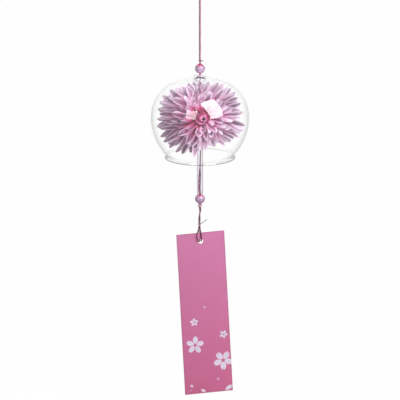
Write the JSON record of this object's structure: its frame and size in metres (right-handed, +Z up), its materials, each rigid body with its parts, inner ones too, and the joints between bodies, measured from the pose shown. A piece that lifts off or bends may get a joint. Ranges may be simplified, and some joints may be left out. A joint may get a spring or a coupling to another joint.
{
  "type": "glass wind bell",
  "caption": "Clear blown-glass wind bell on a doubled cord, with a fabric flower inside, a clear tube as its clapper, round beads and a printed paper tag that catches the wind.",
  "frame": {"origin": "the point where a hook bears inside the hanging loop", "axes": "+Z up along the hanging cord; the flower and the print on the tag face -Y; +X to the viewer's right"},
  "size_m": [0.08, 0.08, 0.3458],
  "materials": {
    "cord": "twisted polyester cord, dark mauve",
    "knot_pink": "knotted cord, lit pink",
    "cut_tail": "knotted cord, greyed",
    "bead": "translucent pearly lilac",
    "glass": "clear blown glass",
    "clear_plastic": "clear",
    "hub": "moulded, matte",
    "petal": "pressed cloth, pale tips and pink roots",
    "heart": "pressed cloth, crimson at its base",
    "paper": "matte card, printed in pale ink on its front"
  },
  "bodies": {
    "hanger": {"hanging_loop": "cord", "loop_knot": "cord"},
    "hanging_cord": {"hanging_strand_left": "cord", "hanging_strand_right": "cord", "top_knot": "cord"},
    "bell_cord": {"bead_cords": "cord", "under_bead_knot": "knot_pink", "crown_cord": "cord", "crown_stopper": "clear_plastic", "stopper_knot": "cord", "flower_cord": "cord", "flower_hub": "hub", "petal_layer_1": "petal", "petal_layer_2": "petal", "petal_layer_3": "petal", "petal_layer_4": "petal", "petal_layer_5": "petal", "petal_layer_6": "petal", "core_petals_outer": "heart", "core_petals_inner": "heart", "hub_knot": "cord"},
    "top_bead": {"top_bead": "bead"},
    "bowl": {"glass_bowl": "glass"},
    "clapper": {"clapper_strand_left": "cord", "clapper_strand_right": "cord", "bottom_knot": "knot_pink"},
    "tube": {"clapper_tube": "clear_plastic"},
    "bottom_bead": {"bottom_bead": "bead"},
    "tag_cord": {"tag_cord": "cord"},
    "tie_knot": {"tie_knot": "cut_tail"},
    "tag": {"tag_loop_left": "cord", "tag_loop_right": "cord", "paper_tag": "paper"}
  },
  "joints": [
    {"name": "cord_swing", "type": "hinge", "parent": "hanger", "child": "hanging_cord", "pos_m": [0, 0, -0.0115], "axis": [0, 1, 0], "range_deg": [-30, 30]},
    {"name": "bell_tilt", "type": "hinge", "parent": "hanging_cord", "child": "bell_cord", "pos_m": [0, 0, -0.0648], "axis": [1, 0, 0], "range_deg": [-30, 30]},
    {"name": "top_bead_turn", "type": "hinge", "parent": "bell_cord", "child": "top_bead", "pos_m": [0, 0, -0.07125], "axis": [0, 0, 1], "continuous": true},
    {"name": "bowl_turn", "type": "hinge", "parent": "bell_cord", "child": "bowl", "pos_m": [0, 0, -0.0814], "axis": [0, 0, 1], "continuous": true},
    {"name": "clapper_swing", "type": "hinge", "parent": "bell_cord", "child": "clapper", "pos_m": [0, 0, -0.11302], "axis": [0, 1, 0], "range_deg": [-35, 35]},
    {"name": "clapper_tube_turn", "type": "hinge", "parent": "clapper", "child": "tube", "pos_m": [0, 0, -0.146], "axis": [0, 0, 1], "continuous": true},
    {"name": "bottom_bead_turn", "type": "hinge", "parent": "clapper", "child": "bottom_bead", "pos_m": [0, 0, -0.1802], "axis": [0, 0, 1], "continuous": true},
    {"name": "tag_cord_swing", "type": "hinge", "parent": "clapper", "child": "tag_cord", "pos_m": [0, 0, -0.1855], "axis": [0, 1, 0], "range_deg": [-60, 60]},
    {"name": "tag_turn", "type": "hinge", "parent": "tag_cord", "child": "tie_knot", "pos_m": [-0.0005, 0, -0.2015], "axis": [0, 0, 1], "continuous": true},
    {"name": "tag_flap", "type": "hinge", "parent": "tie_knot", "child": "tag", "pos_m": [-0.0005, 0, -0.2015], "axis": [0.9839, 0.1788, 0], "range_deg": [-60, 60]}
  ]
}
